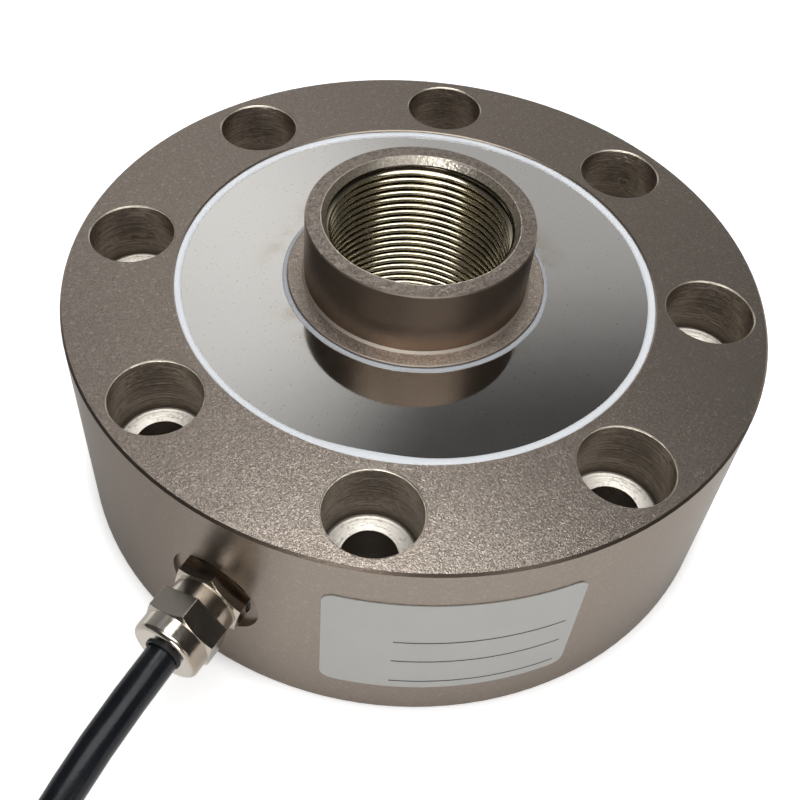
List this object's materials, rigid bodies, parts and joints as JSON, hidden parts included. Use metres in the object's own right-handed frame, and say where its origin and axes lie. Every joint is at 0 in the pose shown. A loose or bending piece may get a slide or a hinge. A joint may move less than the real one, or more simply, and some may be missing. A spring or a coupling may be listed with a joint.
{
  "type": "pancake load cell",
  "caption": "Disc-shaped force sensor with a threaded central hub, mirror cover plates, counterbored bolt holes in the rim and a side cable gland with a tied lead.",
  "frame": {"origin": "centre of the rim's underside, on the plane that the cell stands on", "axes": "+Z along the hub's thread, up out of the hub; the cable leaves towards -Y"},
  "size_m": [0.127, 0.3158, 0.0538],
  "materials": {
    "nickel_plated_steel": "fine bead-blasted nickel plate, warm grey, satin",
    "polished_cover": "mirror-polished stainless",
    "white_sealant": "smooth white silicone",
    "circuit_board": "green solder mask",
    "resistor_body": "lacquered",
    "loom_wire": "fine insulated wire",
    "gauge_film": "amber film",
    "gland_nickel": "bright nickel plate",
    "black_rubber": "black rubber",
    "silver_label": "satin silver film",
    "cable_jacket": "glossy black jacket",
    "shrink_sleeve": "black shrink sleeve",
    "core_red": "red insulation",
    "core_black": "black insulation",
    "core_green": "green insulation",
    "core_white": "white insulation",
    "tinned_copper": "tinned wire",
    "tie_nylon": "black nylon"
  },
  "bodies": {
    "root": {"bottom_cover_plate": "polished_cover", "bottom_inner_seal_bead": "white_sealant", "bottom_outer_seal_bead": "white_sealant", "bridge_loom": "loom_wire", "cable_coil": "cable_jacket", "cable_cores": "loom_wire", "cable_lead": "cable_jacket", "coil_tie_1": "tie_nylon", "coil_tie_2": "tie_nylon", "end_core_black": "core_black", "end_core_green": "core_green", "end_core_red": "core_red", "end_core_tips": "tinned_copper", "end_core_white": "core_white", "end_drain_wire": "tinned_copper", "end_sleeve": "shrink_sleeve", "gland_body": "gland_nickel", "gland_cap_nut": "gland_nickel", "gland_o_ring": "black_rubber", "gland_seal": "black_rubber", "gland_washer": "gland_nickel", "name_label": "silver_label", "sensing_body": "nickel_plated_steel", "strain_gauge_1": "gauge_film", "strain_gauge_2": "gauge_film", "strain_gauge_3": "gauge_film", "strain_gauge_4": "gauge_film", "strain_gauge_5": "gauge_film", "strain_gauge_6": "gauge_film", "strain_gauge_7": "gauge_film", "strain_gauge_8": "gauge_film", "terminal_board": "circuit_board", "top_cover_plate": "polished_cover", "top_inner_seal_bead": "white_sealant", "top_outer_seal_bead": "white_sealant", "trimming_resistors": "resistor_body"}
  },
  "joints": []
}
